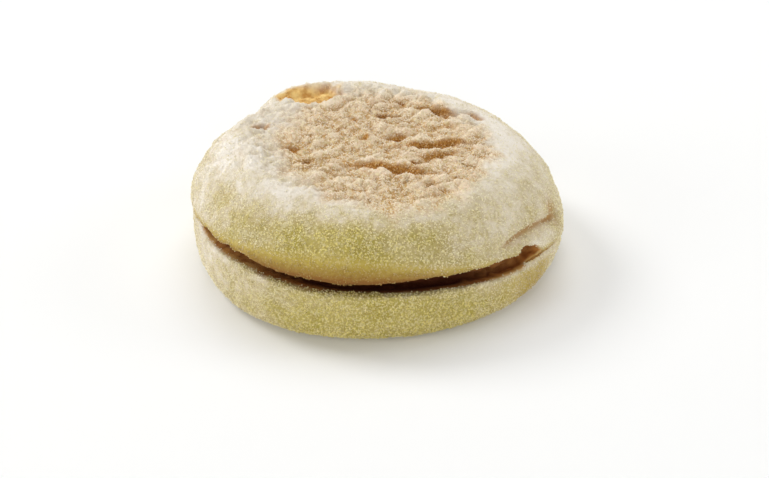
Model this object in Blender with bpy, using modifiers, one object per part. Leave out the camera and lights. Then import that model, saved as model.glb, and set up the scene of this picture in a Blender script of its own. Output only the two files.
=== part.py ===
"""English muffin, split round the front so that it pulls apart.

One solid of dough in metres, +Z up, standing on its flat base, with the split facing -Y.
The body is turned from an outline. Its points are then moved, because a muffin baked on a
griddle is not quite round, leans a little, and has blisters, dents and creases. A curved
wedge then opens the split, whose ends are still joined.
"""

import math

import bmesh
import bpy
from mathutils import Vector

# Driving dimensions. Angles are in radians from +X towards +Y, so the front is at -90 degrees.
DIAMETER = 0.098
HEIGHT = 0.0344
BASE_DIAMETER = 0.0833
PLATEAU_DIAMETER = 0.0635
WIDEST_HEIGHT = 0.0153
SIDE_ROUNDNESS = 2.76
SHOULDER_ROUNDNESS = 1.58

# How the baked body departs from a turned one.
OUT_OF_ROUND = ((2, 0.0242, math.radians(52)), (3, 0.0138, math.radians(-26)))
TOP_LEAN = Vector((-0.0018, 0.0009))
WIDEST_LEAN = Vector((-0.0026, 0.0001))
PLATEAU_SHIFT = Vector((-0.0009, -0.0019))
TOP_CROWN = 0.0004

# The split: its ends, its lower rim, how far its two lips stand apart (angle in degrees, gap),
# and how deep it goes at the ends and in the middle.
SPLIT_LEFT = math.radians(-163)
SPLIT_RIGHT = math.radians(-26.5)
RIM_DIAMETER = 0.0934
RIM_HEIGHT = 0.0141
RIM_LEAN = Vector((-0.0034, -0.0002))
RIM_SADDLE = -0.0013
CLOSED_GAP = 0.0004
SPLIT_GAPS = (
    (-163, CLOSED_GAP), (-157, 0.0017), (-140, 0.0024), (-128, 0.0025), (-114, 0.0011), (-99, 0.0007),
    (-83, 0.0016), (-66, 0.0025), (-42, 0.0031), (-33, 0.0032), (-28, 0.0017), (-26.5, CLOSED_GAP),
)
SPLIT_INNER_GAP = 0.0010
SPLIT_DEPTH = (0.0018, 0.0066)
SPLIT_ROUNDNESS = 0.6
RIM_DISH = 0.0008
DISH_WIDTH = 0.0040
LIP_CURL = 0.0009
WAIST_DEPTH = 0.0021
WAIST_MIDDLE = 0.0013
WAIST_HALF_HEIGHT = 0.0048
WAIST_FADE = math.radians(16)

# Marks in the plateau: x, y, length, width, depth (below zero stands up), and turn in degrees.
BLISTER = (-0.0178, 0.0235, 0.0190, 0.0118, 0.0024, 10)
DENTS = (
    (-0.0310, 0.0032, 0.0050, 0.0036, 0.0007, 10),
    (-0.0219, -0.0054, 0.0052, 0.0034, 0.0008, 0),
    (-0.0183, -0.0138, 0.0036, 0.0034, 0.0006, 30),
    (0.0030, 0.0148, 0.0044, 0.0034, 0.0008, 0),
    (0.0065, 0.0201, 0.0056, 0.0034, 0.0005, 0),
    (0.0046, 0.0019, 0.0060, 0.0036, 0.0006, 20),
    (-0.0036, -0.0015, 0.0040, 0.0034, 0.0005, 0),
    (0.0263, 0.0160, 0.0060, 0.0042, 0.0009, -20),
    (-0.0350, 0.0170, 0.0140, 0.0100, 0.0022, 60),
    (0.0090, 0.0345, 0.0170, 0.0090, 0.0013, -14),
)
CREASES = (
    (0.0170, 0.0176, 0.0120, 0.0036, 0.0008, -14),
    (0.0152, 0.0008, 0.0190, 0.0030, 0.0010, 12),
    (0.0162, -0.0064, 0.0120, 0.0036, 0.0009, 25),
    (0.0048, -0.0146, 0.0200, 0.0044, 0.0012, -10),
)
RIDGES = (
    (0.0150, -0.0030, 0.0170, 0.0034, -0.0005, 13),
    (0.0020, -0.0090, 0.0170, 0.0040, -0.0005, -6),
    (-0.0300, -0.0225, 0.0180, 0.0060, -0.0011, -38),
    (-0.0170, -0.0285, 0.0140, 0.0060, -0.0006, -14),
    (-0.0200, 0.0300, 0.0150, 0.0050, -0.0006, 10),
)
# How far up from the widest level these marks begin and are full, as shares of the way to the top.
MARKS_FROM = 0.25
MARKS_FULL = 0.875
# Marks on the side: angle, height, length round it, height of the mark, depth, and slope in degrees.
SIDE_MARKS = (
    (-27, 0.0208, 0.0170, 0.0034, 0.0011, 8),
    (-14, 0.0172, 0.0070, 0.0070, 0.0009, 0),
    (-24, 0.0165, 0.0150, 0.0050, -0.0008, 10),
    (-152, 0.0290, 0.0070, 0.0120, 0.0010, 0),
    (-101, 0.0225, 0.0680, 0.0150, -0.0022, 0),
    (8, 0.0170, 0.0240, 0.0090, 0.0009, 0),
    (178, 0.0225, 0.0160, 0.0080, -0.0009, 0),
    (142, 0.0290, 0.0110, 0.0090, 0.0013, 0),
)
# How far from the upright axis the side's marks begin and are full.
SIDE_FROM = DIAMETER / 4
SIDE_FULL = DIAMETER * 3 / 8

# Facets.
TURN_STEPS = 96
PLATEAU_RINGS = 15
SHOULDER_RINGS = 12
SIDE_RINGS = 8
BASE_RINGS = 2
SPLIT_STEPS = 60
SPLIT_ROWS = 5
WEDGE_MARGIN = 0.006

CRUST_COLOUR = (0.72, 0.62, 0.38, 1)


def clear_scene():
    for old in list(bpy.data.objects):
        bpy.data.objects.remove(old)


def collection_named(name, rendered=True):
    made = bpy.data.collections.new(name)
    made.hide_render = not rendered
    bpy.context.scene.collection.children.link(made)
    return made


def crust():
    made = bpy.data.materials.new("muffin_crust")
    made.use_nodes = True
    shader = made.node_tree.nodes["Principled BSDF"]
    shader.inputs["Base Color"].default_value = CRUST_COLOUR
    shader.inputs["Roughness"].default_value = 0.9
    shader.inputs["Metallic"].default_value = 0
    return made


def smooth(share):
    """0 to 1 with level ends."""
    share = min(max(share, 0), 1)
    return share * share * (3 - 2 * share)


def lean(slopes, angle):
    return slopes.x * math.cos(angle) + slopes.y * math.sin(angle)


def roundness(angle):
    """Radius over its mean, at this angle."""
    return 1 + sum(share * math.cos(lobes * angle - turn) for lobes, share, turn in OUT_OF_ROUND)


# --- the turned body -------------------------------------------------------------------


def outline():
    """Half of the section, from the middle of the top round the outside to the middle of the base."""
    plateau, widest, base = PLATEAU_DIAMETER / 2, DIAMETER / 2, BASE_DIAMETER / 2
    points = [(plateau * i / PLATEAU_RINGS, HEIGHT) for i in range(PLATEAU_RINGS)]
    for i in range(SHOULDER_RINGS):
        turn = math.pi / 2 * i / SHOULDER_RINGS
        out = math.sin(turn) ** (2 / SHOULDER_ROUNDNESS)
        up = math.cos(turn) ** (2 / SHOULDER_ROUNDNESS)
        points.append((plateau + (widest - plateau) * out, WIDEST_HEIGHT + (HEIGHT - WIDEST_HEIGHT) * up))
    for i in range(SIDE_RINGS):
        turn = math.pi / 2 * i / SIDE_RINGS
        out = math.cos(turn) ** (2 / SIDE_ROUNDNESS)
        down = math.sin(turn) ** (2 / SIDE_ROUNDNESS)
        points.append((base + (widest - base) * out, WIDEST_HEIGHT * (1 - down)))
    points += [(base * (1 - i / BASE_RINGS), 0) for i in range(BASE_RINGS + 1)]
    return points


def turned_body(collection):
    points = outline()
    mesh = bpy.data.meshes.new("english_muffin")
    mesh.from_pydata([(x, 0, z) for x, z in points], [(i, i + 1) for i in range(len(points) - 1)], [])
    body = bpy.data.objects.new("english_muffin", mesh)
    collection.objects.link(body)
    turn = body.modifiers.new("turn", "SCREW")
    turn.steps = turn.render_steps = TURN_STEPS
    turn.use_merge_vertices = True
    turn.merge_threshold = 0.00001
    make_real(body)
    return body


def make_real(body):
    """Replaces the object's mesh and modifiers with the mesh that they make."""
    graph = bpy.context.evaluated_depsgraph_get()
    shaped = bpy.data.meshes.new_from_object(body.evaluated_get(graph))
    body.modifiers.clear()
    body.data = shaped


# --- how baking shaped it ----------------------------------------------------------------


def uneven(point):
    """A point of the turned body, moved to the baked body's lean and outline."""
    reach = math.hypot(point.x, point.y)
    angle = math.atan2(point.y, point.x)
    plateau, widest, base = PLATEAU_DIAMETER / 2, DIAMETER / 2, BASE_DIAMETER / 2
    edge = widest * roundness(angle)
    middle = WIDEST_HEIGHT + lean(WIDEST_LEAN, angle)
    height = point.z
    if height < WIDEST_HEIGHT:
        if reach > base:
            reach = base + (reach - base) * (edge - base) / (widest - base)
        height *= middle / WIDEST_HEIGHT
    else:
        inside = min(reach / plateau, 1)
        rise = (height - WIDEST_HEIGHT) / (HEIGHT - WIDEST_HEIGHT)
        shoulder = plateau + lean(PLATEAU_SHIFT, angle)
        beyond = max(reach - plateau, 0) * (edge - shoulder) / (widest - plateau)
        reach = shoulder * inside + beyond
        top = HEIGHT + TOP_CROWN * (1 - inside**2) + lean(TOP_LEAN, angle) * inside
        height = middle + (top - middle) * rise
    return Vector((reach * math.cos(angle), reach * math.sin(angle), height))


def hollow(across, along, length, width):
    """How much of a mark's depth reaches this far from its middle."""
    return math.exp(-((2 * along / length) ** 2) - (2 * across / width) ** 2)


def sunk(point):
    """A point of the plateau, with its dents, creases and ridges."""
    depth = 0
    for x, y, length, width, deep, turn in (BLISTER, *DENTS, *CREASES, *RIDGES):
        turn = math.radians(turn)
        dx, dy = point.x - x, point.y - y
        along = dx * math.cos(turn) + dy * math.sin(turn)
        across = dy * math.cos(turn) - dx * math.sin(turn)
        depth += deep * hollow(across, along, length, width)
    rise = (point.z - WIDEST_HEIGHT) / (HEIGHT - WIDEST_HEIGHT)
    share = smooth((rise - MARKS_FROM) / (MARKS_FULL - MARKS_FROM))
    return point - Vector((0, 0, depth * share))


def marked(point):
    """A point of the side, with its creases and swellings."""
    reach = math.hypot(point.x, point.y)
    angle = math.atan2(point.y, point.x)
    depth = 0
    for at, height, length, tall, deep, slope in SIDE_MARKS:
        slope = math.radians(slope)
        away = math.remainder(angle - math.radians(at), 2 * math.pi) * reach
        above = point.z - height
        along = away * math.cos(slope) + above * math.sin(slope)
        across = above * math.cos(slope) - away * math.sin(slope)
        depth += deep * hollow(across, along, length, tall)
    reach -= depth * smooth((reach - SIDE_FROM) / (SIDE_FULL - SIDE_FROM))
    return Vector((reach * math.cos(angle), reach * math.sin(angle), point.z))


def waisted(point):
    """A point of the side, drawn in towards the split, where both lips curl inwards."""
    reach = math.hypot(point.x, point.y)
    angle = math.atan2(point.y, point.x)
    ends = (angle - SPLIT_LEFT + WAIST_FADE) / WAIST_FADE, (SPLIT_RIGHT + WAIST_FADE - angle) / WAIST_FADE
    share = smooth(ends[0]) * smooth(ends[1])
    if share == 0 or reach < BASE_DIAMETER / 2:
        return point
    above = (point.z - rim_height(point) - WAIST_MIDDLE) / WAIST_HALF_HEIGHT
    reach -= WAIST_DEPTH * math.exp(-(above**2)) * share
    return Vector((reach * math.cos(angle), reach * math.sin(angle), point.z))


def bake(body):
    for vertex in body.data.vertices:
        vertex.co = waisted(marked(sunk(uneven(vertex.co))))


# --- the split -----------------------------------------------------------------------------


def rim_height(point):
    """Height of the split's lower lip above the base, over this point."""
    reach = math.hypot(point.x, point.y)
    angle = math.atan2(point.y, point.x)
    share = reach / (RIM_DIAMETER / 2)
    saddle = RIM_SADDLE * math.cos(2 * angle) * share**2
    return RIM_HEIGHT + lean(RIM_LEAN, angle) * share + saddle


def gap(angle):
    """Distance between the lips at this angle, in a straight line from one named gap to the next."""
    turn = math.degrees(angle)
    for (start, first), (end, last) in zip(SPLIT_GAPS, SPLIT_GAPS[1:]):
        if turn <= end:
            return first + (last - first) * max(turn - start, 0) / (end - start)
    return CLOSED_GAP


def opening(angle):
    """1 along the split, 0 where its lips meet."""
    return min((gap(angle) - CLOSED_GAP) / CLOSED_GAP, 1)


def wedge_point(across, inward, upper):
    """A point of the wedge: across from 0 at the left end to 1, inward from 0 outside the crust to 1."""
    angle = SPLIT_LEFT + (SPLIT_RIGHT - SPLIT_LEFT) * across
    rim = RIM_DIAMETER / 2 * roundness(angle)
    shallow, deepest = SPLIT_DEPTH
    depth = shallow + (deepest - shallow) * max(math.sin(math.pi * across), 0) ** SPLIT_ROUNDNESS
    reach = rim + WEDGE_MARGIN - (depth + WEDGE_MARGIN) * inward
    point = Vector((reach * math.cos(angle), reach * math.sin(angle), 0))
    within = max(rim - reach, 0)
    share = min(within / depth, 1)
    floor = rim_height(point) - RIM_DISH * smooth(within / DISH_WIDTH) * opening(angle)
    apart = gap(angle) * (1 - share) + min(SPLIT_INNER_GAP, gap(angle)) * share
    lip = LIP_CURL * max(1 - within / LIP_CURL, 0) ** 2 * opening(angle)
    point.z = floor + apart + lip if upper else floor
    return point


def split_wedge(collection):
    form = bmesh.new()
    bmesh.ops.create_grid(form, x_segments=SPLIT_STEPS, y_segments=SPLIT_ROWS, size=0.5)
    raised = bmesh.ops.extrude_face_region(form, geom=form.faces[:])
    upper = {item for item in raised["geom"] if isinstance(item, bmesh.types.BMVert)}
    for vertex in form.verts:
        vertex.co = wedge_point(vertex.co.x + 0.5, vertex.co.y + 0.5, vertex in upper)
    bmesh.ops.recalc_face_normals(form, faces=form.faces[:])
    mesh = bpy.data.meshes.new("split_wedge")
    form.to_mesh(mesh)
    form.free()
    wedge = bpy.data.objects.new("split_wedge", mesh)
    wedge.display_type = "WIRE"
    wedge.hide_render = True
    collection.objects.link(wedge)
    return wedge


def open_split(body, wedge):
    cut = body.modifiers.new("split", "BOOLEAN")
    cut.operation = "DIFFERENCE"
    cut.solver = "EXACT"
    cut.object = wedge
    make_real(body)


# --- the whole muffin ------------------------------------------------------------------------


def centre_over_origin(body):
    """Moves the muffin so that the middle of its box stands on the origin."""
    points = [vertex.co for vertex in body.data.vertices]
    middle = [(min(p[i] for p in points) + max(p[i] for p in points)) / 2 for i in range(2)]
    for vertex in body.data.vertices:
        vertex.co -= Vector((*middle, 0))


def main():
    clear_scene()
    parts = collection_named("english_muffin")
    cutters = collection_named("cutters", rendered=False)
    body = turned_body(parts)
    bake(body)
    open_split(body, split_wedge(cutters))
    centre_over_origin(body)
    body.data.materials.append(crust())
    body.data.shade_smooth()


main()
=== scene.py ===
"""English muffin: a thick griddle bread, split part way through and dusted with meal.

The dough is one closed skin: a sphere shaped to the baked outline, opened with a curved wedge,
then given its wrinkles, dents and crumb. Loose meal lies on it as real grains.
"""
import itertools
import math

import bpy
import numpy as np
from mathutils.bvhtree import BVHTree
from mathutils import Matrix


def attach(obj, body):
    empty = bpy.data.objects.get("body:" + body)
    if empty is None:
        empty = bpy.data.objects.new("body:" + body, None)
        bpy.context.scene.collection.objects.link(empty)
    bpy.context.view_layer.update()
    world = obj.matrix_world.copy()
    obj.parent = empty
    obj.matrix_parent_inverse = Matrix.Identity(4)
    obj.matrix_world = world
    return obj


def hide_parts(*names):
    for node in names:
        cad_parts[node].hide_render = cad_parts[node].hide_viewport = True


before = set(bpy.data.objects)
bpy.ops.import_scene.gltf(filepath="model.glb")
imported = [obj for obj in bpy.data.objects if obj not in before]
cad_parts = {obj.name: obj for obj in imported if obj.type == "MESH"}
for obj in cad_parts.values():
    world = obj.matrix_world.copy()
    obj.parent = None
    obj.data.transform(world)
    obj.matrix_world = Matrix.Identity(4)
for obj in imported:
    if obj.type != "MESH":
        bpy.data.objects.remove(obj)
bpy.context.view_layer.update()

# --- the baked outline, in metres; angles run from +X towards +Y, and the front is at -90 degrees ---
DIAMETER = 0.098
HEIGHT = 0.0344
BASE_DIAMETER = 0.0833
PLATEAU_DIAMETER = 0.0635
WIDEST_HEIGHT = 0.0153
SIDE_ROUNDNESS = 2.76
SHOULDER_ROUNDNESS = 1.58
# Where the top, shoulder, side and base end, as shares of the way from the top to the bottom.
OUTLINE_PARTS = (0, 0.30, 0.53, 0.74, 1)
# How many lobes the outline has, their share of the radius, and how far they are shifted.
OUT_OF_ROUND = ((2, 0.0242, math.radians(52)), (3, 0.0138, math.radians(-26)))
TOP_LEAN = (-0.0018, 0.0009)
WIDEST_LEAN = (-0.0026, 0.0001)
PLATEAU_SHIFT = (-0.0009, -0.0019)
TOP_CROWN = 0.0004

# --- the split: its lips meet at the ends, and the upper half sags and bulges over it ---
SPLIT_LEFT = math.radians(-163)
SPLIT_RIGHT = math.radians(-26.5)
RIM_RADIUS = 0.0467
RIM_HEIGHT = 0.0141
RIM_LEAN = (-0.0034, -0.0002)
RIM_SADDLE = -0.0013
RIM_DIP = 0.0006
DIP_ANGLE = math.radians(-107)
DIP_SPREAD = math.radians(15)
CLOSED_GAP = 0.0004
OPEN_GAP = 0.0006
# Angle in degrees, and the distance between the lips there.
SPLIT_GAPS = (
    (-163, 0.0004), (-161, 0.0011), (-157, 0.0015), (-150, 0.0020), (-140, 0.0023), (-128, 0.0022),
    (-121, 0.0014), (-114, 0.0008), (-107, 0.0006), (-99, 0.0006), (-90, 0.0009), (-83, 0.0016),
    (-76, 0.0023), (-66, 0.0025), (-56, 0.0030), (-48, 0.0033), (-42, 0.0040), (-37, 0.0050),
    (-33.5, 0.0049), (-32, 0.0042), (-30.5, 0.0030), (-29, 0.0016), (-27.5, 0.0007), (-26.5, 0.0004),
)
SPLIT_INNER_GAP = 0.0018
END_RISE = 0.0026
END_SPREAD = math.radians(9)
SPLIT_DEPTH = (0.0018, 0.0066)
SPLIT_BLUNTNESS = 0.6
WEDGE_MARGIN = 0.006
LIP_CURL = 0.0020
RIM_DISH = 0.0012
DISH_WIDTH = 0.0040
TORN_ANGLE = math.radians(-132)
TORN_SPREAD = math.radians(16)
RIM_EDGE = 0.0003
RIM_EDGE_TALL = 0.0008
LEDGE = 0.0013
LEDGE_FALL = 0.0070
TUCK = (0.0032, 0.0038)
TUCK_HEIGHT = (0.0042, 0.0024)
LEAN_ANGLE = math.radians(-145)
LEAN_SPREAD = math.radians(20)
SAG_ANGLE = math.radians(-101)
SAG_SPREAD = math.radians(30)
WAIST_LEFT = math.radians(15)
WAIST_RIGHT = math.radians(18)
FRONT_ANGLE = math.radians(-90)
FRONT_SPREAD = math.radians(36)
BULGE = 0.0022
BULGE_HEIGHT = 0.0225
BULGE_SPREAD = math.radians(40)
BULGE_TALL = 0.0075
# The fold above the split's right end: angle in degrees, and height.
FOLD_LINE = ((-48, 0.0200), (-41, 0.0202), (-30, 0.0202), (-22, 0.0190), (-14, 0.0166), (-8, 0.0160))
FOLD_FADE = (8, 6)
FOLD_DEPTH = 0.0023
FOLD_WIDTH = 0.0011
FOLD_ROLL = 0.0014
ROLL_DROP = 0.0027
ROLL_WIDTH = 0.0021

# --- marks in the top: x, y, length, width, depth, turn in degrees; a negative depth stands up ---
BLISTER = (-0.0178, 0.0235, 0.0190, 0.0118, 0.0026, 10)
DENTS = (
    (-0.0310, 0.0032, 0.0046, 0.0030, 0.0010, 10),
    (-0.0219, -0.0076, 0.0050, 0.0028, 0.0013, 0),
    (-0.0183, -0.0138, 0.0030, 0.0022, 0.0011, 30),
    (0.0028, 0.0129, 0.0054, 0.0036, 0.0017, 0),
    (0.0065, 0.0201, 0.0050, 0.0022, 0.0010, 0),
    (0.0056, 0.0014, 0.0056, 0.0026, 0.0008, 20),
    (-0.0036, -0.0015, 0.0034, 0.0022, 0.0009, 0),
    (-0.0070, 0.0090, 0.0040, 0.0024, 0.0007, 25),
    (0.0155, 0.0170, 0.0040, 0.0022, 0.0012, -10),
    (0.0200, 0.0155, 0.0036, 0.0020, 0.0010, -10),
    (0.0100, -0.0120, 0.0034, 0.0020, 0.0007, -10),
    (0.0261, 0.0160, 0.0060, 0.0032, 0.0016, -20),
)
# Folds stand up behind and sink in front, so that their faces look to the front. The skin is
# calmer round the first few of them.
FOLDS = (
    (0.0166, 0.0176, 0.0120, 0.0028, 0.0013, -10),
    (0.0158, -0.0014, 0.0200, 0.0026, 0.0014, 12),
    (0.0162, -0.0066, 0.0120, 0.0028, 0.0011, 24),
    (0.0036, -0.0145, 0.0240, 0.0040, 0.0012, -6),
    (0.0180, 0.0080, 0.0130, 0.0024, 0.0006, 10),
    (0.0130, -0.0215, 0.0120, 0.0026, 0.0005, 12),
    (-0.0120, -0.0190, 0.0100, 0.0026, 0.0005, -14),
)
FULL_FOLD = 0.0014
CLEAR_FOLDS = 5
RIDGES = (
    (-0.0300, -0.0225, 0.0180, 0.0050, -0.0012, -38),
    (-0.0170, -0.0285, 0.0140, 0.0050, -0.0007, -14),
    (-0.0200, 0.0300, 0.0150, 0.0046, -0.0006, 10),
    (-0.0350, 0.0170, 0.0140, 0.0100, 0.0022, 60),
    (0.0090, 0.0345, 0.0170, 0.0090, 0.0013, -14),
    (-0.0160, 0.0345, 0.0110, 0.0050, 0.0006, 14),
)
# Where the meal lies thickest: the angle, and how far it spreads round from there.
MEAL_FRONT = (math.radians(-109), math.radians(29))
MEAL_RIGHT = (math.radians(-68), math.radians(26))
MEAL_BELOW = (math.radians(-85), math.radians(37))
MEAL_SHOULDER = (math.radians(-80), math.radians(55))
MEAL_BLOTCHES = (math.radians(-115), math.radians(50))
# Yellow meal that fell more thickly or thinly: angle, height, spread round, spread up, how much.
MEAL_PATCHES = (
    (-154, 0.0295, 0.0035, 0.0040, 0.30),
    (-138, 0.0250, 0.0035, 0.0070, 0.24),
    (-103, 0.0195, 0.0110, 0.0050, 0.30),
    (-72, 0.0270, 0.0050, 0.0030, 0.26),
    (-101, 0.0265, 0.0100, 0.0050, 0.20),
    (-84, 0.0040, 0.0120, 0.0050, 0.35),
    (-167, 0.0240, 0.0100, 0.0070, -0.15),
    (-95, 0.0040, 0.0140, 0.0050, 0.30),
    (35, 0.0190, 0.0170, 0.0080, 0.25),
    (118, 0.0110, 0.0230, 0.0060, 0.25),
    (-29, 0.0168, 0.0060, 0.0028, -0.30),
    (12, 0.0300, 0.0120, 0.0070, -0.22),
)
# --- marks on the side: angle, height, length, how tall, depth, slope; angles in degrees ---
SIDE_MARKS = (
    (-152, 0.0290, 0.0070, 0.0120, 0.0010, 0),
    (-14, 0.0172, 0.0060, 0.0060, 0.0008, 0),
    (8, 0.0170, 0.0240, 0.0090, 0.0009, 0),
    (178, 0.0225, 0.0160, 0.0080, -0.0009, 0),
    (142, 0.0290, 0.0110, 0.0090, 0.0013, 0),
    (-124, 0.0020, 0.0300, 0.0080, -0.0007, 0),
)

# --- the griddled top: its wrinkles as length, width, share of the height and seed ---
WRINKLES = ((0.0100, 0.0062, 1.10, 32), (0.0048, 0.0038, 1.30, 33), (0.0023, 0.0020, 0.75, 34))
WRINKLE_TURN = 14
WRINKLE_LEVEL = 1.02
WRINKLE_DEPTH = 0.0015
TOP_STRENGTH = 1.15
# The toasted patch: x, y, half its length and half its width.
TOAST = (0.0009, -0.0048, 0.0286, 0.0302)
LEFT_RIM_ANGLE = math.radians(172)
LEFT_RIM_SPREAD = math.radians(48)
REFINED_HEIGHT = 0.0290
REFINED_REACH = 0.0365

# --- the skin beside the split ---
TORN_END = math.radians(-34)
# How far up the upper lip's toasting and painted shade reach, and how much further where it sags.
LIP_TALL = (0.0046, 0.0068)
TAN_END = (math.radians(-28), math.radians(18), 0.32)
CREASE_SPOT = (math.radians(-13.5), 0.0190, 0.0028, 0.0026)
# Painted shade in the split: where it is darkest, and where it is lighter at the right end, as angle and
# spread.
SHADED_CRUMB = (math.radians(-86), math.radians(24))
LIT_CRUMB = (math.radians(-36), math.radians(20))

# --- loose meal: name, how many, least and most across, how deep it sits, cream and yellow ---
GRAINS = (
    ("flour_specks", 22000, (0.00026, 0.00042), 0.20, (0.94, 0.89, 0.79, 1), (0.84, 0.76, 0.44, 1)),
    ("semolina_grains", 18000, (0.00040, 0.00062), 0.10, (0.94, 0.88, 0.74, 1), (0.84, 0.75, 0.38, 1)),
    ("corn_meal_grains", 14000, (0.00050, 0.00082), 0.05, (0.90, 0.83, 0.64, 1), (0.76, 0.66, 0.24, 1)),
)
FIRST_GRAIN_SEED = 5
GRAIN_SIDES = (1, 0.8, 0.65)

# --- studio: lamps as name, place, size and power, then floor, backdrop and camera ---
LAMPS = (
    ("softbox", (0.2, 0.80, 2.10), 2.0, 23),
    ("key", (-1.95, 1.05, 1.95), 1.2, 35),
    ("front_fill", (0.3, -2.30, 0.80), 1.6, 9),
    ("left_fill", (-2.20, -1.00, 1.00), 1.2, 9),
    ("right_fill", (2.10, 0.20, 1.30), 1.0, 7),
)
WORLD_STRENGTH = 0.26
FLOOR_SIZE = 12
FLOOR_GLOW = 0.08
BACKDROP_RADIUS = 2.6
BACKDROP_HEIGHT = 0.6
BACKDROP_GLOW = 0.6
CAMERA_TILT = math.radians(31)
CAMERA_AIM = (0.00175, -0.00045, 0.00377)
CAMERA_DISTANCE = 0.5806
LENS = 100
SENSOR = 36

# --- fineness of the mesh ---
SEGMENTS = 288
RINGS = 200
WEDGE_STEPS = (180, 30)
VOXEL = 0.00066


# --- sums that shape the dough ---------------------------------------------------------------


def smooth(share):
    """0 to 1 with level ends."""
    share = np.clip(share, 0, 1)
    return share * share * (3 - 2 * share)


def bell(away):
    """1 at 0, fading away on both sides."""
    return np.exp(-(away**2))


def oval(along, across, length, width):
    """1 in the middle of an oval mark, fading away round it."""
    return np.exp(-((2 * along / length) ** 2) - (2 * across / width) ** 2)


def around(points):
    """Each point's distance from the upright axis, and its angle round it."""
    return np.hypot(points[:, 0], points[:, 1]), np.arctan2(points[:, 1], points[:, 0])


def placed(reach, angle, height):
    """Points at these distances from the upright axis, angles round it and heights."""
    return np.stack([reach * np.cos(angle), reach * np.sin(angle), height], axis=1)


def lean(slopes, angle):
    """What a tilt towards +X and +Y adds at this angle."""
    return slopes[0] * np.cos(angle) + slopes[1] * np.sin(angle)


def roundness(angle):
    """The outline's radius at this angle, against a true circle's."""
    return 1 + sum(share * np.cos(lobes * angle - turn) for lobes, share, turn in OUT_OF_ROUND)


def hashed(cells, seed):
    """A fixed random number from 0 to 1 for each whole-numbered cell."""
    x, y, z = cells.astype(np.int64).astype(np.uint32).T
    mixed = x * np.uint32(73856093) ^ y * np.uint32(19349663) ^ z * np.uint32(83492791)
    mixed ^= np.uint32(seed * 668265263 % 2**32)
    mixed = (mixed ^ (mixed >> np.uint32(15))) * np.uint32(2246822519)
    mixed = (mixed ^ (mixed >> np.uint32(13))) * np.uint32(3266489917)
    return (mixed ^ (mixed >> np.uint32(16))) / 2**32


def rough(points, size, seed):
    """Smooth random numbers, about -1 to 1, that change over this size."""
    at = points / size + 512
    cell = np.floor(at)
    part = at - cell
    fade = part**3 * (part * (part * 6 - 15) + 10)
    total = np.zeros(len(points))
    for corner in itertools.product((0, 1), repeat=3):
        corner = np.array(corner)
        slope = np.stack([hashed(cell + corner, 3 * seed + k) for k in range(3)], axis=1) * 2 - 1
        weight = np.prod(np.where(corner, fade, 1 - fade), axis=1)
        total += weight * np.sum(slope * (part - corner), axis=1)
    return total * 1.7


def mark_axes(points, x, y, turn):
    """Distances along and across a mark that is turned by this many degrees."""
    turn = math.radians(turn)
    dx, dy = points[:, 0] - x, points[:, 1] - y
    along = dx * math.cos(turn) + dy * math.sin(turn)
    return along, dy * math.cos(turn) - dx * math.sin(turn)


# --- the baked form ------------------------------------------------------------------------------


def turned(polar):
    """Reach and height of the outline, from the middle of the top (0) to the middle of the base (pi)."""
    plateau, widest, base = PLATEAU_DIAMETER / 2, DIAMETER / 2, BASE_DIAMETER / 2
    ends = np.array(OUTLINE_PARTS) * math.pi
    part = [np.clip((polar - a) / (b - a), 0, 1) for a, b in zip(ends, ends[1:])]
    turn = part[1] * math.pi / 2
    reach = plateau * part[0] + (widest - plateau) * np.sin(turn) ** (2 / SHOULDER_ROUNDNESS)
    height = WIDEST_HEIGHT + (HEIGHT - WIDEST_HEIGHT) * np.cos(turn).clip(0) ** (2 / SHOULDER_ROUNDNESS)
    turn = part[2] ** (SIDE_ROUNDNESS / 2) * math.pi / 2
    reach -= (widest - base) * (1 - np.cos(turn).clip(0) ** (2 / SIDE_ROUNDNESS))
    height -= WIDEST_HEIGHT * np.sin(turn) ** (2 / SIDE_ROUNDNESS)
    return reach - base * part[3], height


def uneven(reach, angle, height):
    """The turned form, moved to the baked lean and outline."""
    plateau, widest, base = PLATEAU_DIAMETER / 2, DIAMETER / 2, BASE_DIAMETER / 2
    edge = widest * roundness(angle)
    middle = WIDEST_HEIGHT + lean(WIDEST_LEAN, angle)
    low = np.minimum(reach, base) + np.maximum(reach - base, 0) * (edge - base) / (widest - base)
    inside = np.minimum(reach / plateau, 1)
    shoulder = plateau + lean(PLATEAU_SHIFT, angle)
    high = shoulder * inside + np.maximum(reach - plateau, 0) * (edge - shoulder) / (widest - plateau)
    top = HEIGHT + TOP_CROWN * (1 - inside**2) + lean(TOP_LEAN, angle) * inside
    rise = (height - WIDEST_HEIGHT) / (HEIGHT - WIDEST_HEIGHT)
    below = height < WIDEST_HEIGHT
    up = np.where(below, height * middle / WIDEST_HEIGHT, middle + (top - middle) * rise)
    return placed(np.where(below, low, high), angle, up)


def rim_height(points):
    """Height of the split's lower lip over these points."""
    reach, angle = around(points)
    share = reach / RIM_RADIUS
    dip = RIM_DIP * near(angle, DIP_ANGLE, DIP_SPREAD)
    return RIM_HEIGHT + lean(RIM_LEAN, angle) * share + RIM_SADDLE * np.cos(2 * angle) * share**2 - dip


def gap(angle):
    """Distance between the lips at this angle."""
    turns, gaps = np.array(SPLIT_GAPS).T
    return np.interp(np.degrees(angle), turns, gaps)


def opening(angle):
    """1 along the split, 0 beyond its ends."""
    return np.clip((gap(angle) - CLOSED_GAP) / (OPEN_GAP - CLOSED_GAP), 0, 1)


def near(angle, middle, spread):
    """1 at this angle, fading away on both sides of it."""
    away = np.arctan2(np.sin(angle - middle), np.cos(angle - middle))
    return bell(away / spread)


def waist(angle):
    """1 along the split, fading out round the sides beyond its ends."""
    ahead = np.mod(angle + math.pi / 2 + math.pi, 2 * math.pi) - math.pi - math.pi / 2
    left = smooth((ahead - SPLIT_LEFT + WAIST_LEFT) / WAIST_LEFT)
    return left * smooth((SPLIT_RIGHT + WAIST_RIGHT - ahead) / WAIST_RIGHT)


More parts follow.
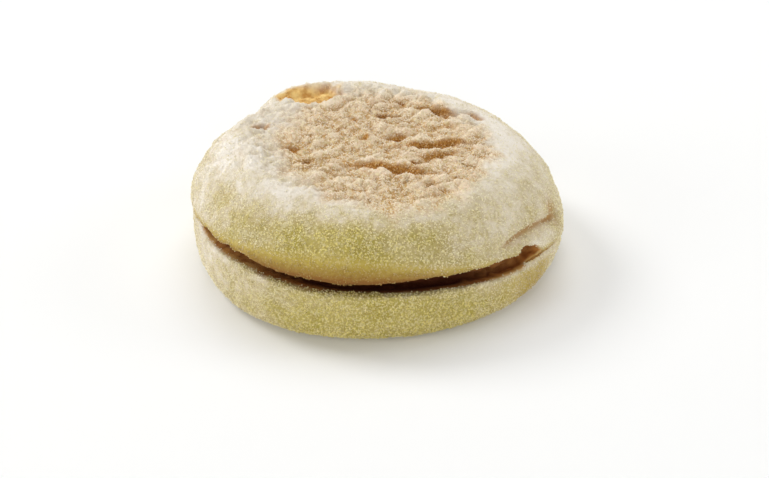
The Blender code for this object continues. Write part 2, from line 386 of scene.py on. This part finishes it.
def fold_distance(points):
    """How far above the fold at the right each point is, and how strong the fold is there."""
    _, angle = around(points)
    turns, heights = np.array(FOLD_LINE).T
    turn = np.degrees(angle)
    share = smooth((turn - turns[0]) / FOLD_FADE[0]) * smooth((turns[-1] - turn) / FOLD_FADE[1])
    return points[:, 2] - np.interp(turn, turns, heights), share


def shaped_side(points):
    """The side: swollen above the split and tucked under towards it, with its marks."""
    reach, angle = around(points)
    depth = np.zeros(len(points))
    for at, height, length, tall, deep, slope in SIDE_MARKS:
        slope = math.radians(slope)
        turn = angle - math.radians(at)
        away = np.arctan2(np.sin(turn), np.cos(turn)) * reach
        above = points[:, 2] - height
        along = away * math.cos(slope) + above * math.sin(slope)
        across = above * math.cos(slope) - away * math.sin(slope)
        depth += deep * oval(along, across, length, tall)
    sag = near(angle, SAG_ANGLE, SAG_SPREAD)
    bulge = bell((points[:, 2] - BULGE_HEIGHT) / BULGE_TALL)
    depth -= BULGE * near(angle, SAG_ANGLE, BULGE_SPREAD) * bulge
    above = points[:, 2] - rim_height(points)
    tuck = (TUCK[0] + TUCK[1] * sag) * (1 - above / (TUCK_HEIGHT[0] + TUCK_HEIGHT[1] * sag)).clip(0) ** 2
    front = near(angle, FRONT_ANGLE, FRONT_SPREAD)
    ledge = LEDGE * (1 - 1.2 * front) * bell(above / LEDGE_FALL)
    ledge += RIM_EDGE * bell(above / RIM_EDGE_TALL)
    depth += np.where(above > 0.0003, tuck, ledge) * waist(angle)
    over, share = fold_distance(points)
    depth += FOLD_DEPTH * share * bell(over / FOLD_WIDTH)
    depth -= FOLD_ROLL * share * bell((over + ROLL_DROP) / ROLL_WIDTH)
    return placed(reach - depth * smooth(8 * reach / DIAMETER - 2), angle, points[:, 2])


def wedge_form(across, inward, upper):
    """The wedge that opens the split: across it from 0 to 1, and inward from outside the crust."""
    angle = SPLIT_LEFT + (SPLIT_RIGHT - SPLIT_LEFT) * across
    rim = RIM_RADIUS * roundness(angle)
    middle = np.sin(math.pi * across) ** SPLIT_BLUNTNESS
    deep = SPLIT_DEPTH[0] + (SPLIT_DEPTH[1] - SPLIT_DEPTH[0]) * middle
    reach = rim + WEDGE_MARGIN - (deep + WEDGE_MARGIN) * inward
    points = placed(reach, angle, np.zeros(len(angle)))
    within = np.maximum(rim - reach, 0)
    share = smooth(within / deep)
    torn = 0.35 + near(angle, TORN_ANGLE, TORN_SPREAD)
    ragged = torn * (0.00022 * rough(points, 0.0042, 61) + 0.00018 * rough(points, 0.0013, 62))
    dish = RIM_DISH * (1 - 2 * near(angle, LEAN_ANGLE, LEAN_SPREAD))
    floor = rim_height(points) + ragged - dish * smooth(within / DISH_WIDTH) * opening(angle)
    floor += END_RISE * smooth((angle - SPLIT_RIGHT) / END_SPREAD + 1)
    apart = gap(angle) * (1 - share) + np.minimum(SPLIT_INNER_GAP, gap(angle)) * share
    apart += 0.0002 * rough(points, 0.0034, 63) * smooth((SPLIT_RIGHT - angle) / END_SPREAD - 1)
    inside_lip = np.maximum(within - TUCK[0] - TUCK[1] * near(angle, SAG_ANGLE, SAG_SPREAD) + LEDGE, 0)
    lip = LIP_CURL * np.maximum(1 - inside_lip / LIP_CURL, 0) ** 2 * opening(angle)
    heavy = near(angle, DIP_ANGLE, DIP_SPREAD)
    lip *= smooth((SPLIT_RIGHT - angle) / END_SPREAD) * (1 - 0.25 * heavy)
    points[:, 2] = np.where(upper, floor + apart + lip, floor)
    return points


# --- mesh work -------------------------------------------------------------------------------------


def points_of(piece):
    """Where each of its points is."""
    found = np.empty(len(piece.data.vertices) * 3)
    piece.data.vertices.foreach_get("co", found)
    return found.reshape(-1, 3)


def normals_of(piece):
    """Which way the skin faces at each point."""
    found = np.empty(len(piece.data.vertices) * 3)
    piece.data.vertices.foreach_get("normal", found)
    return found.reshape(-1, 3)


def set_points(piece, points):
    piece.data.vertices.foreach_set("co", points.astype(np.float32).ravel())
    piece.data.update()


def set_values(piece, name, values):
    """Keeps a number for each point, for the material to read."""
    layer = piece.data.attributes.new(name, "FLOAT", "POINT")
    layer.data.foreach_set("value", values.astype(np.float32))


def pick(piece):
    """Makes this the only selected object, and the active one."""
    bpy.ops.object.select_all(action="DESELECT")
    piece.select_set(True)
    bpy.context.view_layer.objects.active = piece


def apply(piece, kind, **settings):
    """Adds a modifier with these settings and applies it."""
    modifier = piece.modifiers.new(kind.lower(), kind)
    for name, value in settings.items():
        setattr(modifier, name, value)
    pick(piece)
    bpy.ops.object.modifier_apply(modifier=modifier.name)


def risen_dough():
    """The whole baked body, before it is split: a sphere shaped to the outline."""
    bpy.ops.object.select_all(action="DESELECT")
    bpy.ops.mesh.primitive_uv_sphere_add(segments=SEGMENTS, ring_count=RINGS, radius=1)
    dough = bpy.context.object
    dough.name = dough.data.name = "muffin_dough"
    ball = points_of(dough)
    _, angle = around(ball)
    reach, height = turned(np.arccos(np.clip(ball[:, 2], -1, 1)))
    set_points(dough, shaped_side(uneven(reach, angle, height)))
    return dough


def split_wedge():
    """The wedge as a closed mesh: a sheet of squares, extruded and shaped."""
    bpy.ops.object.select_all(action="DESELECT")
    across, inward = WEDGE_STEPS
    bpy.ops.mesh.primitive_grid_add(x_subdivisions=across, y_subdivisions=inward, size=1)
    wedge = bpy.context.object
    bpy.ops.object.mode_set(mode="EDIT")
    bpy.ops.mesh.select_all(action="SELECT")
    bpy.ops.mesh.extrude_region_move(TRANSFORM_OT_translate={"value": (0, 0, 1)})
    bpy.ops.object.mode_set(mode="OBJECT")
    flat = points_of(wedge)
    set_points(wedge, wedge_form(flat[:, 0] + 0.5, flat[:, 1] + 0.5, flat[:, 2] > 0.5))
    bpy.ops.object.mode_set(mode="EDIT")
    bpy.ops.mesh.select_all(action="SELECT")
    bpy.ops.mesh.normals_make_consistent(inside=False)
    bpy.ops.object.mode_set(mode="OBJECT")
    return wedge


# --- the skin: its relief, where it is toasted, floury, yellow or torn, and its painted shade ----------


def plateau_share(points):
    """1 on the flat griddled top, 0 on the side."""
    reach, angle = around(points)
    shoulder = PLATEAU_DIAMETER / 2 + lean(PLATEAU_SHIFT, angle)
    wide = 1.10 + 0.16 * near(angle, LEFT_RIM_ANGLE, math.radians(45))
    return smooth((wide - reach / shoulder) / 0.22) * smooth((points[:, 2] - 0.026) / 0.004)


def left_rim_share(points):
    """The puffy cream rim beside the toasted patch."""
    _, angle = around(points)
    return near(angle, LEFT_RIM_ANGLE, LEFT_RIM_SPREAD) * smooth((points[:, 2] - 0.023) / 0.007)


def toast_share(points):
    """How browned the top is by the griddle: a ragged patch that leaves the left edge floury."""
    x, y, half_length, half_width = TOAST
    away = np.hypot((points[:, 0] - x) / half_length, (points[:, 1] - y) / half_width)
    away += 0.12 * rough(points, 0.009, 21) + 0.09 * rough(points, 0.003, 22)
    patch = smooth((1.12 - away) / (0.22 + 0.16 * smooth(-points[:, 0] / 0.02)))
    return patch * smooth((points[:, 2] - 0.028) / 0.003)


def meal_and_painted_shading(points):
    """How thickly yellow meal covers the skin: the lower half most, the shoulders least; on the lower half it
    also paints a paler band of light under the split and shade towards the base.
    """
    reach, angle = around(points)
    height = points[:, 2]
    share = 0.12 + 0.58 * near(angle, *MEAL_FRONT) + 0.06 * near(angle, *MEAL_RIGHT)
    share *= smooth((0.0350 - height) / 0.0070)
    share += 0.16 * smooth((0.0320 - height) / 0.0050) + 0.10 * smooth((0.0245 - height) / 0.0050)
    lower = smooth((rim_height(points) + 0.001 - height) / 0.002) * waist(angle)
    front = near(angle, *MEAL_BELOW)
    # Thicker meal towards the base of the lower half, partly as painted shade there.
    below = 0.20 + 0.68 * front + (0.06 + 0.52 * front) * smooth((0.0130 - height) / 0.0070)
    share = share * (1 - lower) + below * lower
    # A paler band of painted light just under the split's lower lip.
    share -= 0.16 * bell((height - rim_height(points) + 0.0004) / 0.0010) * waist(angle)
    share += 0.16 * near(angle, *MEAL_SHOULDER) * smooth((0.0345 - height) / 0.0020)
    for at, level, along, tall, strength in MEAL_PATCHES:
        turn = np.arctan2(np.sin(angle - math.radians(at)), np.cos(angle - math.radians(at)))
        away = np.hypot(turn * reach / along, (height - level) / tall)
        share += strength * bell(away)
    blotches = 0.14 * rough(points, 0.010, 23) + 0.24 * rough(points, 0.0036, 24)
    blotches += 0.18 * rough(points, 0.0017, 26)
    share += blotches * (0.55 + 0.45 * near(angle, *MEAL_BLOTCHES))
    return share.clip(0, 1)


def wrinkles(points):
    """Puffy skin with creases between, drawn out along the griddle's wrinkles: -1 low, 1 high."""
    along, across = mark_axes(points, 0, 0, WRINKLE_TURN)
    warp = 0.0018 * rough(points, 0.008, 31)
    flat = np.stack([along + warp, across + warp, np.zeros(len(points))], axis=1)
    crests = np.zeros(len(points))
    for length, width, share, seed in WRINKLES:
        crests += share * np.abs(rough(flat, np.array([length, width, 1]), seed))
    return crests - WRINKLE_LEVEL


def blister_reach(points):
    """0 in the middle of the burst blister, 1 on its torn edge."""
    x, y, length, width, _, turn = BLISTER
    along, across = mark_axes(points, x, y, turn)
    away = np.hypot(2 * along / length, 2 * across / width)
    ragged = 0.12 * rough(points, 0.0040, 41) + 0.10 * rough(points, 0.0016, 47)
    return away + ragged + (points[:, 2] < 0.022)


def refine_top(dough):
    """Halves the faces of the griddled top, where the skin is most wrinkled."""
    middles = np.empty(len(dough.data.polygons) * 3)
    dough.data.polygons.foreach_get("center", middles)
    middles = middles.reshape(-1, 3)
    reach, _ = around(middles)
    pick(dough)
    bpy.ops.object.mode_set(mode="EDIT")
    bpy.ops.mesh.select_mode(type="FACE")
    bpy.ops.mesh.select_all(action="DESELECT")
    bpy.ops.object.mode_set(mode="OBJECT")
    high = (middles[:, 2] > REFINED_HEIGHT) & (reach < REFINED_REACH)
    dough.data.polygons.foreach_set("select", high)
    bpy.ops.object.mode_set(mode="EDIT")
    bpy.ops.mesh.subdivide(number_cuts=1, smoothness=0)
    bpy.ops.object.mode_set(mode="OBJECT")


def torn_share(points, normals, under):
    """1 on the torn crumb inside the split and along its lower lip, 0 on the baked skin."""
    reach, angle = around(points)
    over_rim = points[:, 2] - rim_height(points)
    leaning = near(angle, LEAN_ANGLE, LEAN_SPREAD) * (over_rim < 0.5 * gap(angle))
    inside = smooth((under - 0.0002) / (0.0005 + 0.0007 * leaning)) * (np.abs(over_rim - 0.002) < 0.006)
    within = RIM_RADIUS * roundness(angle) - reach
    shelf = opening(angle) * smooth((normals[:, 2] - 0.60) / 0.20) * smooth((within + 0.0009) / 0.0006)
    shelf *= (over_rim > -0.0003) * (over_rim < np.maximum(0.6 * gap(angle), 0.0014))
    return np.maximum(inside, shelf * (angle < TORN_END) * (within < 0.010))


def marked_top(points, crests, top):
    """How far the griddled top stands up, and how dark its dents and the front faces of its folds are: partly
    toasted, partly painted shade.
    """
    calm = np.zeros(len(points))
    for x, y, length, width, _, turn in FOLDS[:CLEAR_FOLDS]:
        along, across = mark_axes(points, x, y, turn)
        calm = np.maximum(calm, oval(0.8 * along, 0.55 * across, length, width))
    relief = WRINKLE_DEPTH * crests * top * (1 - 0.6 * calm) * (1 - 0.3 * left_rim_share(points))
    browned_and_shaded = np.zeros(len(points))
    for x, y, length, width, deep, turn in DENTS:
        along, across = mark_axes(points, x, y, turn)
        along += 0.0007 * rough(points, 0.003, 45)
        across += 0.0005 * rough(points, 0.003, 46)
        pit = np.exp(-(((2 * along / length) ** 2 + (2 * across / width) ** 2) ** 1.5))
        relief -= deep * pit
        browned_and_shaded = np.maximum(browned_and_shaded, pit)
    for x, y, length, width, tall, turn in FOLDS:
        along, across = mark_axes(points, x, y, turn)
        along += 0.0012 * rough(points, 0.004, 42)
        across += 0.0009 * rough(points, 0.0045, 43)
        fold = bell(2 * along / length) * top
        slope = 2 * across / width
        relief += 1.5 * tall * slope * bell(slope) * fold
        browned_and_shaded = np.maximum(browned_and_shaded, min(tall / FULL_FOLD, 1) * fold * bell(1.5 * slope + 0.45))
    for x, y, length, width, deep, turn in RIDGES:
        along, across = mark_axes(points, x, y, turn)
        relief -= deep * oval(along, across, length, width)
    return relief, browned_and_shaded


def lip_tan_and_shade(points, over_rim):
    """Painted shade and toasting under the upper lip: 1 at its edge, fading upwards, and less on the tan end
    of the lower half.
    """
    _, angle = around(points)
    tall = LIP_TALL[0] + LIP_TALL[1] * near(angle, SAG_ANGLE, SAG_SPREAD)
    lip = (1 - (over_rim - 0.6 * gap(angle)) / tall).clip(0, 1) * (over_rim > 0.0006)
    middle, spread, strength = TAN_END
    return np.maximum(lip, strength * near(angle, middle, spread) * smooth(-over_rim / 0.0020))


def crease_shade_and_spot(points, over_rim):
    """Painted shade along the fold at the right of the split, with its brown spot and the closed end."""
    reach, angle = around(points)
    over, strength = fold_distance(points)
    crease = strength * (0.2 * bell((over + 0.0002) / 0.0010) + 0.75 * bell(over / 0.0005))
    middle, height, wide, tall = CREASE_SPOT
    spot = np.exp(-(((angle - middle) * reach / wide) ** 2) - ((points[:, 2] - height) / tall) ** 2)
    closing = waist(angle) * (angle > SPLIT_RIGHT) * (angle < 0) * bell((over_rim - 0.0014) / 0.0030)
    return np.clip(crease + 0.9 * spot + 0.1 * closing, 0, 1) * (reach > 0.036)


def bake_skin(dough, whole_skin):
    """Raises the skin's relief and returns what each point is like."""
    points, normals = points_of(dough), normals_of(dough)
    _, angle = around(points)
    top = plateau_share(points)
    over_rim = points[:, 2] - rim_height(points)
    under = np.array([whole_skin.find_nearest(point)[3] for point in points.tolist()])
    inside = torn_share(points, normals, under)
    crests = wrinkles(points)
    relief, browned_and_shaded = marked_top(points, crests, top)
    torn = blister_reach(points)
    blister = smooth((1.05 - torn) / 0.32)
    far_side = smooth((points[:, 0] - BLISTER[0] + points[:, 1] - BLISTER[1]) / 0.010)
    relief = TOP_STRENGTH * relief * (1 - blister) - BLISTER[4] * blister
    relief += 0.0008 * blister * rough(points, 0.0028, 44)
    puffs = left_rim_share(points) * (1 - blister)
    folds = np.abs(rough(points, 0.0044, 59))
    lumps = 0.00030 * rough(points, 0.016, 51) + 0.00020 * rough(points, 0.007, 52)
    lumps += 0.00012 * rough(points, 0.0032, 57)
    lumps += puffs * (0.0013 * np.abs(rough(points, 0.0090, 58)) + 0.0010 * folds)
    lumps += puffs * 0.0005 * np.abs(rough(points, 0.0021, 60))
    grit = 0.00014 * rough(points, 0.0018, 53) + (0.00010 + 0.00006 * top) * rough(points, 0.0010, 54)
    grit *= 1 - 0.6 * puffs
    pores = 1.5 * np.abs(rough(points, 0.0030, 55)) + 0.8 * np.abs(rough(points, 0.0016, 56)) - 0.55
    outer = (1 - inside) * (points[:, 2] > 0.0004)
    upward = np.array([[0, 0, 1.0]]) * top[:, None] + normals * (1 - top[:, None])
    moved = points + upward * (relief + outer * lumps)[:, None]
    moved += normals * (outer * grit + 0.0007 * smooth((under - 0.0014) / 0.0020) * pores)[:, None]
    moved[:, 2] = np.maximum(moved[:, 2], 0)
    set_points(dough, moved)
    toasted = toast_share(points) * (1 - blister)
    # Painted shade in the split: the crumb darkens with its depth under the skin, most at the front and least
    # at the right end.
    deep = 0.8 * smooth(under / 0.0036) + 0.8 * near(angle, *SHADED_CRUMB)
    deep *= 1 - 0.4 * near(angle, *LIT_CRUMB)
    # Wrinkle height, for the toast's paler crests and its hollows darkened with painted shade.
    rise = crests * 0.6 + 0.5 + 0.3 * rough(points, 0.0012, 25)
    # Painted shade in the creases between the puffs of the left rim.
    wrinkled = 0.20 * puffs * smooth((0.14 - folds) / 0.12)
    values = {
        "toast": toasted,
        "browned_and_shaded": smooth(1.4 * browned_and_shaded) * (0.75 + 0.25 * toasted),
        "crest": np.where(inside > 0.5, 0.5 + pores, rise),
        "gold": smooth((1.12 - torn) / (0.16 + 0.26 * far_side)),
        "inside": inside,
        "deep": deep.clip(0, 1),
        "lip": lip_tan_and_shade(points, over_rim) * waist(angle) * (1 - inside),
        "crease": np.maximum(crease_shade_and_spot(points, over_rim), wrinkled),
        "meal": meal_and_painted_shading(points),
    }
    for name, value in values.items():
        set_values(dough, name, value)
    return {"points": moved, "normals": normals_of(dough), **values}


# --- materials ---------------------------------------------------------------------------------------


class Recipe:
    """A procedural material and short ways to add its nodes; patterns lie in the object's own space."""

    def __init__(self, name, roughness):
        self.material = bpy.data.materials.new(name)
        self.material.use_nodes = True
        self.tree = self.material.node_tree
        self.shader = self.tree.nodes["Principled BSDF"]
        self.shader.inputs["Roughness"].default_value = roughness
        self.shader.inputs["Specular IOR Level"].default_value = 0.25
        self.place = self.tree.nodes.new("ShaderNodeTexCoord").outputs["Object"]

    def add(self, kind, inputs, **settings):
        node = self.tree.nodes.new(kind)
        for name, value in settings.items():
            setattr(node, name, value)
        for name, value in inputs.items():
            if isinstance(value, bpy.types.NodeSocket):
                self.tree.links.new(value, node.inputs[name])
            else:
                node.inputs[name].default_value = value
        return node

    def value(self, name):
        return self.add("ShaderNodeAttribute", {}, attribute_name=name).outputs["Fac"]

    def noise(self, scale, detail=2.0, roughness=0.5):
        node = self.add(
            "ShaderNodeTexNoise",
            {"Vector": self.place, "Scale": scale, "Detail": detail, "Roughness": roughness},
        )
        return node.outputs["Fac"]

    def cells(self, scale):
        """Three random numbers for each cell of about 1 / scale across."""
        cell = self.add("ShaderNodeTexVoronoi", {"Vector": self.place, "Scale": scale}).outputs["Color"]
        return self.add("ShaderNodeSeparateColor", {"Color": cell}).outputs

    def spread(self, value, low, high, start=0.0, end=1.0):
        limits = {"Value": value, "From Min": low, "From Max": high, "To Min": start, "To Max": end}
        return self.add("ShaderNodeMapRange", limits).outputs["Result"]

    def times(self, first, second):
        return self.add("ShaderNodeMath", {0: first, 1: second}, operation="MULTIPLY").outputs[0]

    def stirred(self, value, pattern, strength, middle=0.5):
        """A value with this much of a pattern stirred in, whose own middle adds nothing."""
        less = self.add("ShaderNodeMath", {0: value, 1: middle * strength}, operation="SUBTRACT").outputs[0]
        inputs = {0: pattern, 1: strength, 2: less}
        return self.add("ShaderNodeMath", inputs, operation="MULTIPLY_ADD").outputs[0]

    def mix(self, share, first, second):
        return self.add("ShaderNodeMix", {0: share, 6: first, 7: second}, data_type="RGBA").outputs[2]

    def bump(self, height, strength, distance):
        inputs = {"Height": height, "Strength": strength, "Distance": distance}
        node = self.add("ShaderNodeBump", inputs)
        self.tree.links.new(node.outputs["Normal"], self.shader.inputs["Normal"])

    def colour(self, socket):
        self.tree.links.new(socket, self.shader.inputs["Base Color"])


def crust():
    """Cream dough under a coat of meal, toasted on top and golden in the blister, with painted shade: brown
    and near black in the split, and darker on the lip, in the creases and in the dents and folds.
    """
    paint = Recipe("muffin_crust", 0.85)
    broad = paint.spread(paint.noise(110, 3), 0.35, 0.65)
    fine = paint.noise(1000, 3, 0.65)
    grain = paint.spread(paint.noise(2000, 2, 0.6), 0.36, 0.64)
    speck = paint.cells(1700)
    floury = paint.mix(broad, (0.83, 0.75, 0.62, 1), (0.92, 0.86, 0.77, 1))
    beige = paint.mix(broad, (0.61, 0.50, 0.28, 1), (0.72, 0.61, 0.40, 1))
    dusted = paint.mix(broad, (0.44, 0.36, 0.07, 1), (0.56, 0.46, 0.14, 1))
    thick = paint.stirred(paint.value("meal"), fine, 0.5)
    coat = paint.mix(paint.spread(thick, 0.0, 0.5), floury, beige)
    coat = paint.mix(paint.spread(thick, 0.4, 1.0), coat, dusted)
    strong = paint.spread(paint.value("meal"), 0.05, 0.7, 0.1, 1.0)
    # Painted shade between the grains: dark speckle cells where the meal is thick.
    gaps = paint.times(paint.spread(speck[0], 0.45, 0.62, 0.38, 0.0), strong)
    coat = paint.mix(gaps, coat, (0.40, 0.30, 0.10, 1))
    bright = paint.times(paint.spread(speck[1], 0.74, 0.84, 0, 0.38), strong)
    coat = paint.mix(bright, coat, (0.93, 0.86, 0.56, 1))
    # The toast is paler on the wrinkles' crests and darker in their hollows: partly flour and toasting,
    # partly painted shade in the hollows.
    hollow = paint.mix(fine, (0.46, 0.23, 0.05, 1), (0.66, 0.41, 0.14, 1))
    crest = paint.mix(broad, (0.92, 0.72, 0.53, 1), (0.97, 0.84, 0.65, 1))
    rise = paint.stirred(paint.value("crest"), grain, 0.24)
    toasted = paint.mix(paint.spread(rise, 0.12, 0.78), hollow, crest)
    toasted = paint.mix(paint.spread(speck[1], 0.66, 0.80, 0, 0.6), toasted, (0.96, 0.86, 0.56, 1))
    toasted = paint.mix(paint.spread(speck[2], 0.70, 0.84, 0, 0.5), toasted, (0.56, 0.42, 0.16, 1))
    coat = paint.mix(paint.times(paint.value("toast"), 0.92), coat, toasted)
    # Dents and the front faces of folds: partly toasted brown, partly painted shade.
    dark = paint.mix(grain, (0.32, 0.12, 0.02, 1), (0.58, 0.30, 0.07, 1))
    coat = paint.mix(paint.value("browned_and_shaded"), coat, dark)
    patches = paint.spread(paint.noise(420, 3), 0.35, 0.65)
    gold = paint.mix(patches, (0.56, 0.25, 0.04, 1), (0.96, 0.70, 0.28, 1))
    coat = paint.mix(paint.value("gold"), coat, gold)
    # The upper lip turns olive, then dark brown at its edge: partly toasted crust, partly painted shade where
    # it rolls under.
    lip = paint.stirred(paint.value("lip"), fine, 0.3)
    coat = paint.mix(paint.spread(lip, 0.02, 0.30, 0, 0.75), coat, (0.58, 0.43, 0.08, 1))
    coat = paint.mix(paint.spread(lip, 0.26, 0.66), coat, (0.27, 0.12, 0.025, 1))
    # Painted shade along the fold and in the left rim's creases; the spot beside the fold is plain brown.
    coat = paint.mix(paint.times(paint.value("crease"), 0.9), coat, (0.46, 0.25, 0.08, 1))
    pores = paint.stirred(paint.value("crest"), paint.noise(600, 4), 0.6, 2 / 3)
    # The crumb is painted brown, orange-brown at the mouth and near black deep in the split, as painted shade
    # over the paler torn crumb.
    crumb = paint.mix(paint.spread(pores, 0.0, 0.9), (0.30, 0.11, 0.02, 1), (0.50, 0.22, 0.05, 1))
    crumb = paint.mix(paint.spread(paint.value("deep"), 0.0, 0.12), (0.66, 0.38, 0.11, 1), crumb)
    crumb = paint.mix(paint.spread(paint.value("deep"), 0.2, 0.9), crumb, (0.11, 0.025, 0.006, 1))
    paint.colour(paint.mix(paint.value("inside"), coat, crumb))
    paint.bump(paint.noise(1700, 4, 0.75), 0.7, 0.0005)
    return paint.material


def meal(name, cream, yellow):
    """Grains: cream where little meal fell, yellow where more did, browned on the griddled top, and darker
    with the painted shade of the dents, folds and lip.
    """
    paint = Recipe(name, 0.55)
    tint = paint.mix(paint.value("meal"), cream, yellow)
    tint = paint.mix(paint.times(paint.value("toast"), 0.75), tint, (0.95, 0.82, 0.64, 1))
    tint = paint.mix(paint.times(paint.value("browned_and_shaded"), 0.9), tint, (0.66, 0.42, 0.16, 1))
    tint = paint.mix(paint.times(paint.value("gold"), 0.9), tint, (0.88, 0.58, 0.18, 1))
    # Grains on the lip darken with it, partly as painted shade.
    tint = paint.mix(paint.spread(paint.value("lip"), 0.15, 0.5, 0, 0.9), tint, (0.42, 0.25, 0.07, 1))
    dark = paint.mix(paint.spread(paint.value("meal"), 0.1, 0.6, 0.12, 0.55), tint, (0.40, 0.29, 0.10, 1))
    paint.colour(paint.mix(paint.spread(paint.value("tone"), 0.1, 0.5), dark, tint))
    return paint.material


# --- loose meal ------------------------------------------------------------------------------------------


def grain_form(stretch):
    """One grain: an eight-sided crumb about 1 across."""
    points = np.array([[1, 0, 0], [0, 1, 0], [-1, 0, 0], [0, -1, 0], [0, 0, 1], [0, 0, -1]]) * 0.5
    corners = [(side, (side + 1) % 4, 4) for side in range(4)]
    corners += [((side + 1) % 4, side, 5) for side in range(4)]
    return points * stretch, np.array(corners)


def turns(count, rng):
    """This many rotations, evenly at random."""
    quarters = rng.normal(size=(count, 4))
    w, x, y, z = (quarters / np.linalg.norm(quarters, axis=1, keepdims=True)).T
    rows = [
        [1 - 2 * (y * y + z * z), 2 * (x * y - w * z), 2 * (x * z + w * y)],
        [2 * (x * y + w * z), 1 - 2 * (x * x + z * z), 2 * (y * z - w * x)],
        [2 * (x * z - w * y), 2 * (y * z + w * x), 1 - 2 * (x * x + y * y)],
    ]
    return np.array(rows).transpose(2, 0, 1)


def sprinkle(dough, skin, name, count, sizes, likely, seed, sink):
    """Lays grains on the skin, more where likely is near 1, and joins them into one piece."""
    rng = np.random.default_rng(seed)
    points, normals = skin["points"], skin["normals"]
    dough.data.calc_loop_triangles()
    faces = np.empty(len(dough.data.loop_triangles) * 3, np.int32)
    dough.data.loop_triangles.foreach_get("vertices", faces)
    faces = faces.reshape(-1, 3)
    a, b, c = (points[faces[:, k]] for k in range(3))
    area = np.linalg.norm(np.cross(b - a, c - a), axis=1)
    weight = area * likely[faces].mean(axis=1)
    chosen = faces[rng.choice(len(faces), count, p=weight / weight.sum())]
    mix = rng.dirichlet((1, 1, 1), count)[:, :, None]
    spot = (points[chosen] * mix).sum(axis=1)
    normal = (normals[chosen] * mix).sum(axis=1)
    form, corners = grain_form(np.array(GRAIN_SIDES))
    size = rng.uniform(*sizes, (count, 1, 1)) * rng.uniform(0.8, 1.2, (count, 1, 3))
    grains = np.einsum("nij,npj->npi", turns(count, rng), form[None] * size)
    grains += (spot + normal * size.mean(axis=2) * sink)[:, None]
    mesh = bpy.data.meshes.new(name)
    first = (np.arange(count) * len(form))[:, None, None]
    mesh.from_pydata(grains.reshape(-1, 3), [], (corners[None] + first).reshape(-1, 3))
    piece = bpy.data.objects.new(name, mesh)
    bpy.context.scene.collection.objects.link(piece)
    set_values(piece, "tone", np.repeat(rng.uniform(0, 1, count), len(form)))
    for value in ("meal", "toast", "browned_and_shaded", "gold", "lip"):
        set_values(piece, value, np.repeat(skin[value][chosen].mean(axis=1), len(form)))
    return piece


# --- light, floor and camera ---------------------------------------------------------------------------


def white_stage(piece, name, colour, glow):
    """Makes this piece a matt, pale part of the stage that glows a little."""
    piece.name = name
    white = Recipe("white_" + name, 0.9)
    white.shader.inputs["Base Color"].default_value = colour
    white.shader.inputs["Specular IOR Level"].default_value = 0.0
    white.shader.inputs["Emission Color"].default_value = (1, 1, 1, 1)
    white.shader.inputs["Emission Strength"].default_value = glow
    piece.data.materials.append(white.material)


def studio():
    """A pale floor and backdrop under soft lamps."""
    bpy.ops.object.select_all(action="DESELECT")
    bpy.ops.mesh.primitive_plane_add(size=FLOOR_SIZE, location=(0, 0, 0))
    white_stage(bpy.context.object, "floor", (0.86, 0.86, 0.85, 1), FLOOR_GLOW)
    bpy.ops.mesh.primitive_cylinder_add(
        vertices=96, radius=BACKDROP_RADIUS, depth=BACKDROP_HEIGHT, end_fill_type="NOTHING",
        location=(0, 0, BACKDROP_HEIGHT / 2),
    )
    white_stage(bpy.context.object, "backdrop", (0.8, 0.8, 0.8, 1), BACKDROP_GLOW)
    for name, place, size, power in LAMPS:
        light = bpy.data.lights.new(name, "AREA")
        light.shape = "DISK"
        light.size = size
        light.energy = power
        lamp = bpy.data.objects.new(name, light)
        bpy.context.scene.collection.objects.link(lamp)
        lamp.location = place
        lamp.rotation_euler = (-lamp.location).to_track_quat("-Z", "Y").to_euler()
    world = bpy.data.worlds.new("studio")
    world.use_nodes = True
    bpy.context.scene.world = world
    sky = world.node_tree.nodes["Background"]
    sky.inputs["Color"].default_value = (1, 1, 1, 1)
    sky.inputs["Strength"].default_value = WORLD_STRENGTH
    bpy.context.scene.view_settings.view_transform = "Standard"


def camera():
    """Looks down at the front of the muffin."""
    lens = bpy.data.cameras.new("camera")
    lens.lens = LENS
    lens.sensor_width = SENSOR
    lens.clip_start = 0.01
    back = np.array([0, -math.cos(CAMERA_TILT), math.sin(CAMERA_TILT)])
    view = bpy.data.objects.new("camera", lens)
    view.location = np.array(CAMERA_AIM) + CAMERA_DISTANCE * back
    view.rotation_euler = (math.pi / 2 - CAMERA_TILT, 0, 0)
    bpy.context.scene.collection.objects.link(view)
    bpy.context.scene.camera = view


# --- the muffin --------------------------------------------------------------------------------------------


def main():
    """The muffin, split, baked and dusted."""
    dough = risen_dough()
    box = points_of(dough)
    middle = (box.min(axis=0) + box.max(axis=0)) / 2 * (1, 1, 0)
    whole_skin = BVHTree.FromObject(dough, bpy.context.evaluated_depsgraph_get())
    wedge = split_wedge()
    apply(dough, "BOOLEAN", operation="DIFFERENCE", solver="EXACT", object=wedge)
    bpy.data.objects.remove(wedge)
    apply(dough, "REMESH", mode="VOXEL", voxel_size=VOXEL)
    refine_top(dough)
    skin = bake_skin(dough, whole_skin)
    dough.data.shade_smooth()
    dough.data.materials.clear()
    dough.data.materials.append(crust())
    outside = (1 - skin["inside"]) * (skin["points"][:, 2] > 0.0008) * (1 - skin["crease"])
    outside *= (1 - 0.9 * smooth(skin["lip"] / 0.7)) * (1 - 0.45 * skin["browned_and_shaded"]) * (1 - 0.7 * skin["gold"])
    patchy = 0.75 + 0.5 * rough(skin["points"], 0.006, 71).clip(-1, 1)
    patchy *= 0.35 + 0.65 * np.maximum(smooth(skin["meal"] / 0.4), skin["toast"])
    thickly = 0.15 + skin["meal"] + 0.3 * skin["toast"]
    share = 1
    pieces = [dough]
    for seed, (name, count, sizes, sink, cream, yellow) in enumerate(GRAINS, FIRST_GRAIN_SEED):
        likely = outside * (thickly if name == "corn_meal_grains" else patchy)
        grains = sprinkle(dough, skin, name, int(count * share), sizes, likely, seed, sink)
        grains.data.materials.append(meal(name, cream, yellow))
        pieces.append(grains)
    for piece in pieces:
        set_points(piece, points_of(piece) - middle)
        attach(piece, "root")
    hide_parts("english_muffin")


main()
studio()
camera()
